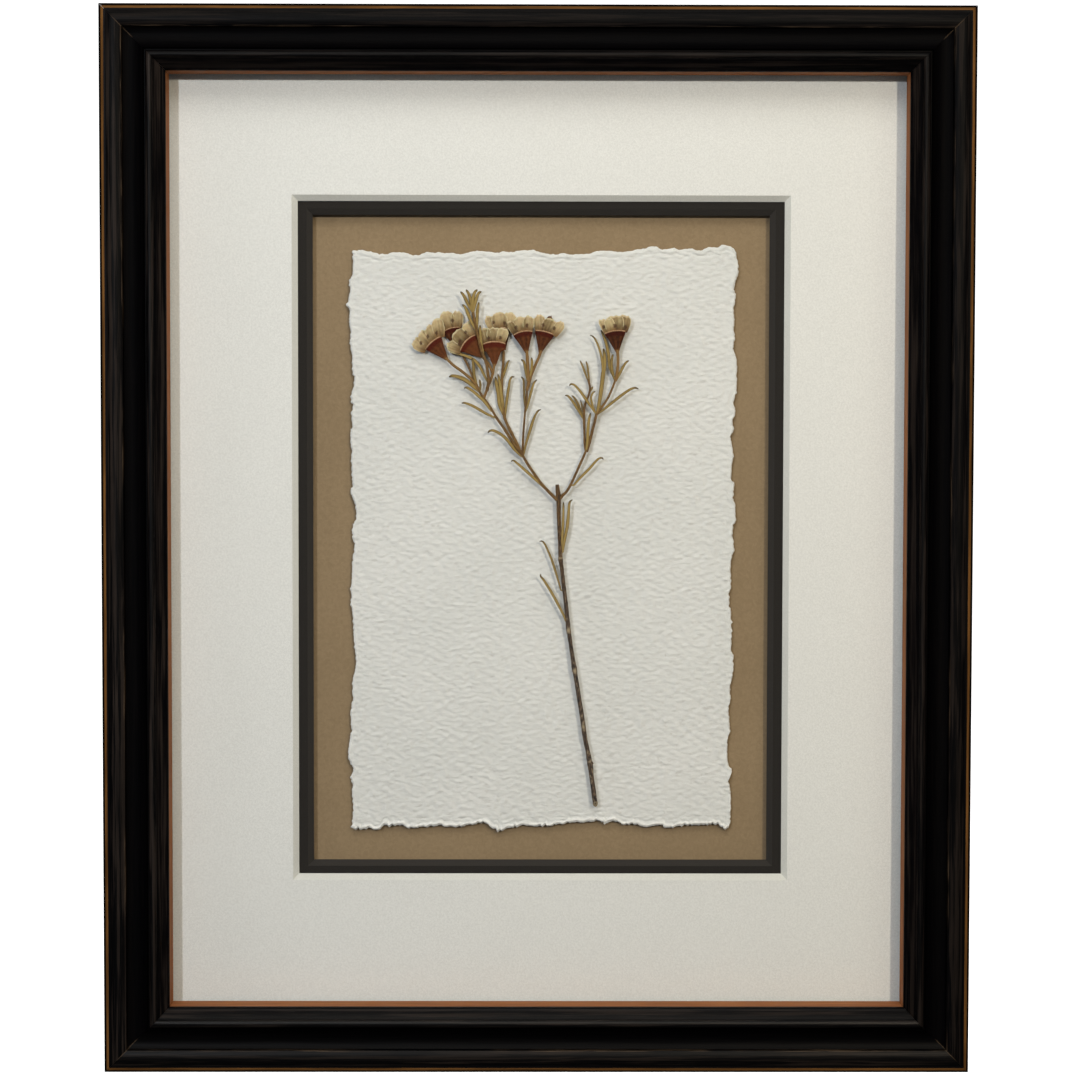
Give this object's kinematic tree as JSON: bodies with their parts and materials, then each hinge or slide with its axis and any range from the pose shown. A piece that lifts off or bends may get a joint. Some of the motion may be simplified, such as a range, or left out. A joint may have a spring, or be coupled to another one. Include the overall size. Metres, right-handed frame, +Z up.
{
  "type": "pressed flower frame",
  "caption": "Dried waxflower sprig on deckle-edged handmade paper, double matted behind glass in a narrow moulded black picture frame with a sawtooth hanger.",
  "frame": {"origin": "middle of the bottom edge, half way between the front crest and the back of the hanger", "axes": "+Z up the frame, -Y out of the picture towards the viewer, +X to the viewer's right"},
  "size_m": [0.2312, 0.0274, 0.2837],
  "materials": {
    "rail_paint": "black paint over a brown undercoat, satin, rubbed through in streaks on the high edges",
    "glass": "clear picture glass",
    "white_mat": "smooth off-white mat board with a white core",
    "dark_mat": "charcoal mat board with a black core",
    "foam": "closed-cell foam",
    "tan_board": "uncoated tan board",
    "lift_board": "plain mat board",
    "handmade_paper": "handmade cotton paper, felt marked, torn deckle edge",
    "hardboard": "brown pressed fibre board",
    "tab_steel": "bare sheet steel",
    "hanger_steel": "plated sheet steel",
    "bark": "dry grey-brown bark with pale leaf scars",
    "dried_leaf": "dried olive-brown needle leaves on brown twigs",
    "cup": "dried dark red-brown flower cup, ribbed",
    "petal": "dried cream petals, translucent and ruffled"
  },
  "bodies": {
    "root": {"rail_top": "rail_paint", "rail_bottom": "rail_paint", "rail_left": "rail_paint", "rail_right": "rail_paint", "glass_pane": "glass", "white_mat": "white_mat", "dark_mat": "dark_mat", "spacer_top": "foam", "spacer_bottom": "foam", "spacer_left": "foam", "spacer_right": "foam", "tan_board": "tan_board", "paper_lift": "lift_board", "deckle_paper": "handmade_paper", "backing_board": "hardboard", "tab_left_low": "tab_steel", "tab_left_high": "tab_steel", "tab_right_low": "tab_steel", "tab_right_high": "tab_steel", "tab_bottom_left": "tab_steel", "tab_bottom_right": "tab_steel", "tab_top_left": "tab_steel", "tab_top_right": "tab_steel", "sawtooth_hanger": "hanger_steel", "hanger_nail_left": "hanger_steel", "hanger_nail_right": "hanger_steel", "main_stem": "bark", "left_branch": "dried_leaf", "mid_twig": "dried_leaf", "left_twig_1": "dried_leaf", "left_twig_2": "dried_leaf", "top_twig": "dried_leaf", "right_branch": "dried_leaf", "right_twig_left": "dried_leaf", "right_twig_right": "dried_leaf", "flower_cup_1": "cup", "flower_cup_2": "cup", "flower_cup_3": "cup", "flower_cup_4": "cup", "flower_cup_5": "cup", "flower_cup_6": "cup", "flower_cup_7": "cup", "flower_cup_8": "cup", "flower_petals_1": "petal", "flower_petals_2": "petal", "flower_petals_3": "petal", "flower_petals_4": "petal", "flower_petals_5": "petal", "flower_petals_6": "petal", "flower_petals_7": "petal", "flower_petals_8": "petal"}
  },
  "joints": []
}
